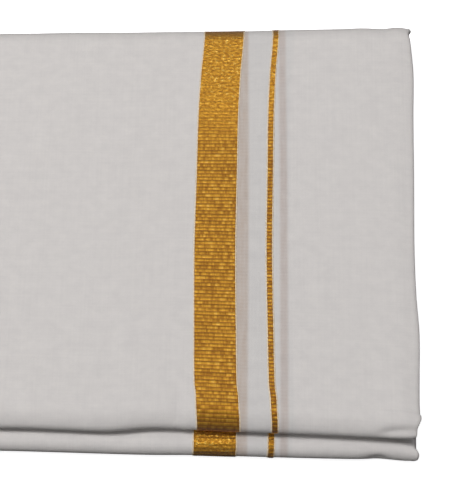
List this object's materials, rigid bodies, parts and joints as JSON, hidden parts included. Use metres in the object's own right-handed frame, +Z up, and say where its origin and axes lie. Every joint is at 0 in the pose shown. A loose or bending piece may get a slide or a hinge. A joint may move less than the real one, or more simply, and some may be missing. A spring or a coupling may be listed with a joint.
{
  "type": "folded dhoti cloth",
  "caption": "Long white cotton dhoti with a woven gold border, pressed and folded flat into an oblong pack that rests on a surface.",
  "frame": {"origin": "on the surface the pack lies on, under the middle of the pack", "axes": "+X along the pack towards its bordered end, the viewer's right; +Y away from the viewer, from the open mouth towards the back fold; +Z up"},
  "size_m": [0.2516, 0.1656, 0.0174],
  "materials": {
    "cotton": "fine plain-woven cotton, matte, pressed, off-white",
    "zari": "woven gold-coloured metallic thread, ribbed, with a soft sparkle"
  },
  "bodies": {
    "root": {"upper_field_left": "cotton", "upper_zari_band": "zari", "upper_field_middle": "cotton", "upper_zari_line": "zari", "upper_field_right": "cotton", "lower_field_left": "cotton", "lower_zari_band": "zari", "lower_field_middle": "cotton", "lower_zari_line": "zari", "lower_field_right": "cotton", "hidden_layers": "cotton"}
  },
  "joints": []
}
